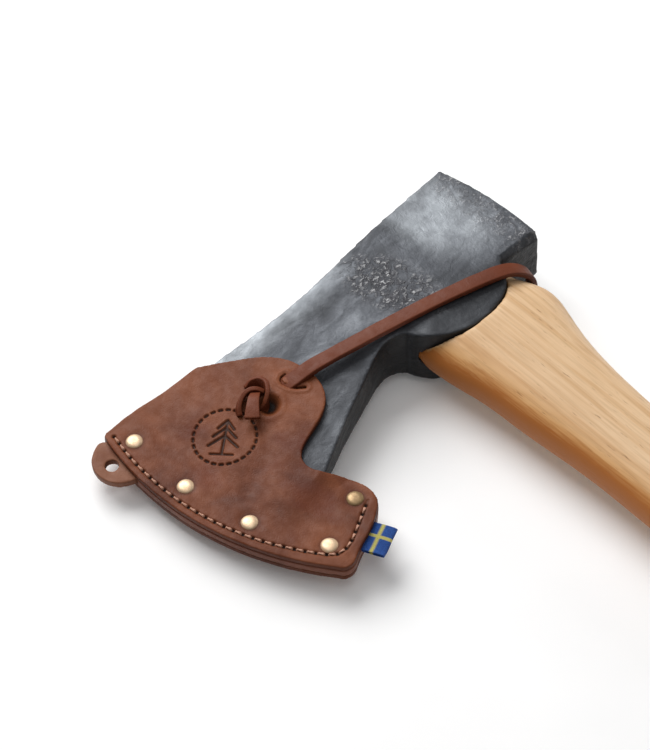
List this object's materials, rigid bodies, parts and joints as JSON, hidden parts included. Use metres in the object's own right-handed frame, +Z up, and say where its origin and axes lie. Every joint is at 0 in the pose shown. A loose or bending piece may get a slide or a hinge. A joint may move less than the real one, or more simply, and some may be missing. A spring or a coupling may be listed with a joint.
{
  "type": "felling axe",
  "caption": "Felling axe lying on its side, its cutting edge covered by a riveted leather sheath that is held on by a strap looped over the poll.",
  "frame": {"origin": "middle of the footprint, on the surface the axe lies on", "axes": "+X runs down the handle from the head to the knob, +Y points to the poll, -Y to the sheathed cutting edge, +Z up"},
  "size_m": [0.702, 0.207, 0.0407],
  "materials": {
    "forged_steel": "forged, dark blue-grey scale, slightly pitted",
    "ash_wood": "oiled, lengthwise grain",
    "wedge_wood": "end grain",
    "wedge_steel": "plain steel",
    "sheath_leather": "waxed, matt brown",
    "welt_leather": "cut edge, dark brown",
    "tab_leather": "waxed, dark brown",
    "strap_leather": "waxed, red-brown",
    "woven_label": "woven, blue with a yellow cross",
    "linen_thread": "waxed thread",
    "brass": "pale, slightly dull"
  },
  "bodies": {
    "axe": {"axe_head": "forged_steel", "handle": "ash_wood", "wood_wedge": "wedge_wood", "steel_wedge": "wedge_steel"},
    "sheath": {"sheath_leather": "sheath_leather", "welt": "welt_leather", "hang_tab": "tab_leather", "side_label": "woven_label", "stitching": "linen_thread", "rivet_cap_1": "brass", "rivet_cap_2": "brass", "rivet_cap_3": "brass", "rivet_cap_4": "brass", "rivet_cap_5": "brass", "rivet_post_1": "brass", "rivet_post_2": "brass", "rivet_post_3": "brass", "rivet_post_4": "brass", "rivet_post_5": "brass"},
    "strap": {"strap": "strap_leather"}
  },
  "joints": [
    {"name": "sheath_slide", "type": "slide", "parent": "axe", "child": "sheath", "axis": [-0.0003, -0.9979, -0.0645], "range_m": [0, 0.12]},
    {"name": "strap_swing", "type": "hinge", "parent": "sheath", "child": "strap", "pos_m": [-0.31253, -0.01867, 0.01523], "axis": [0.0052, -0.0645, 0.9979], "range_deg": [0, 60], "deforming": ["strap"]}
  ]
}
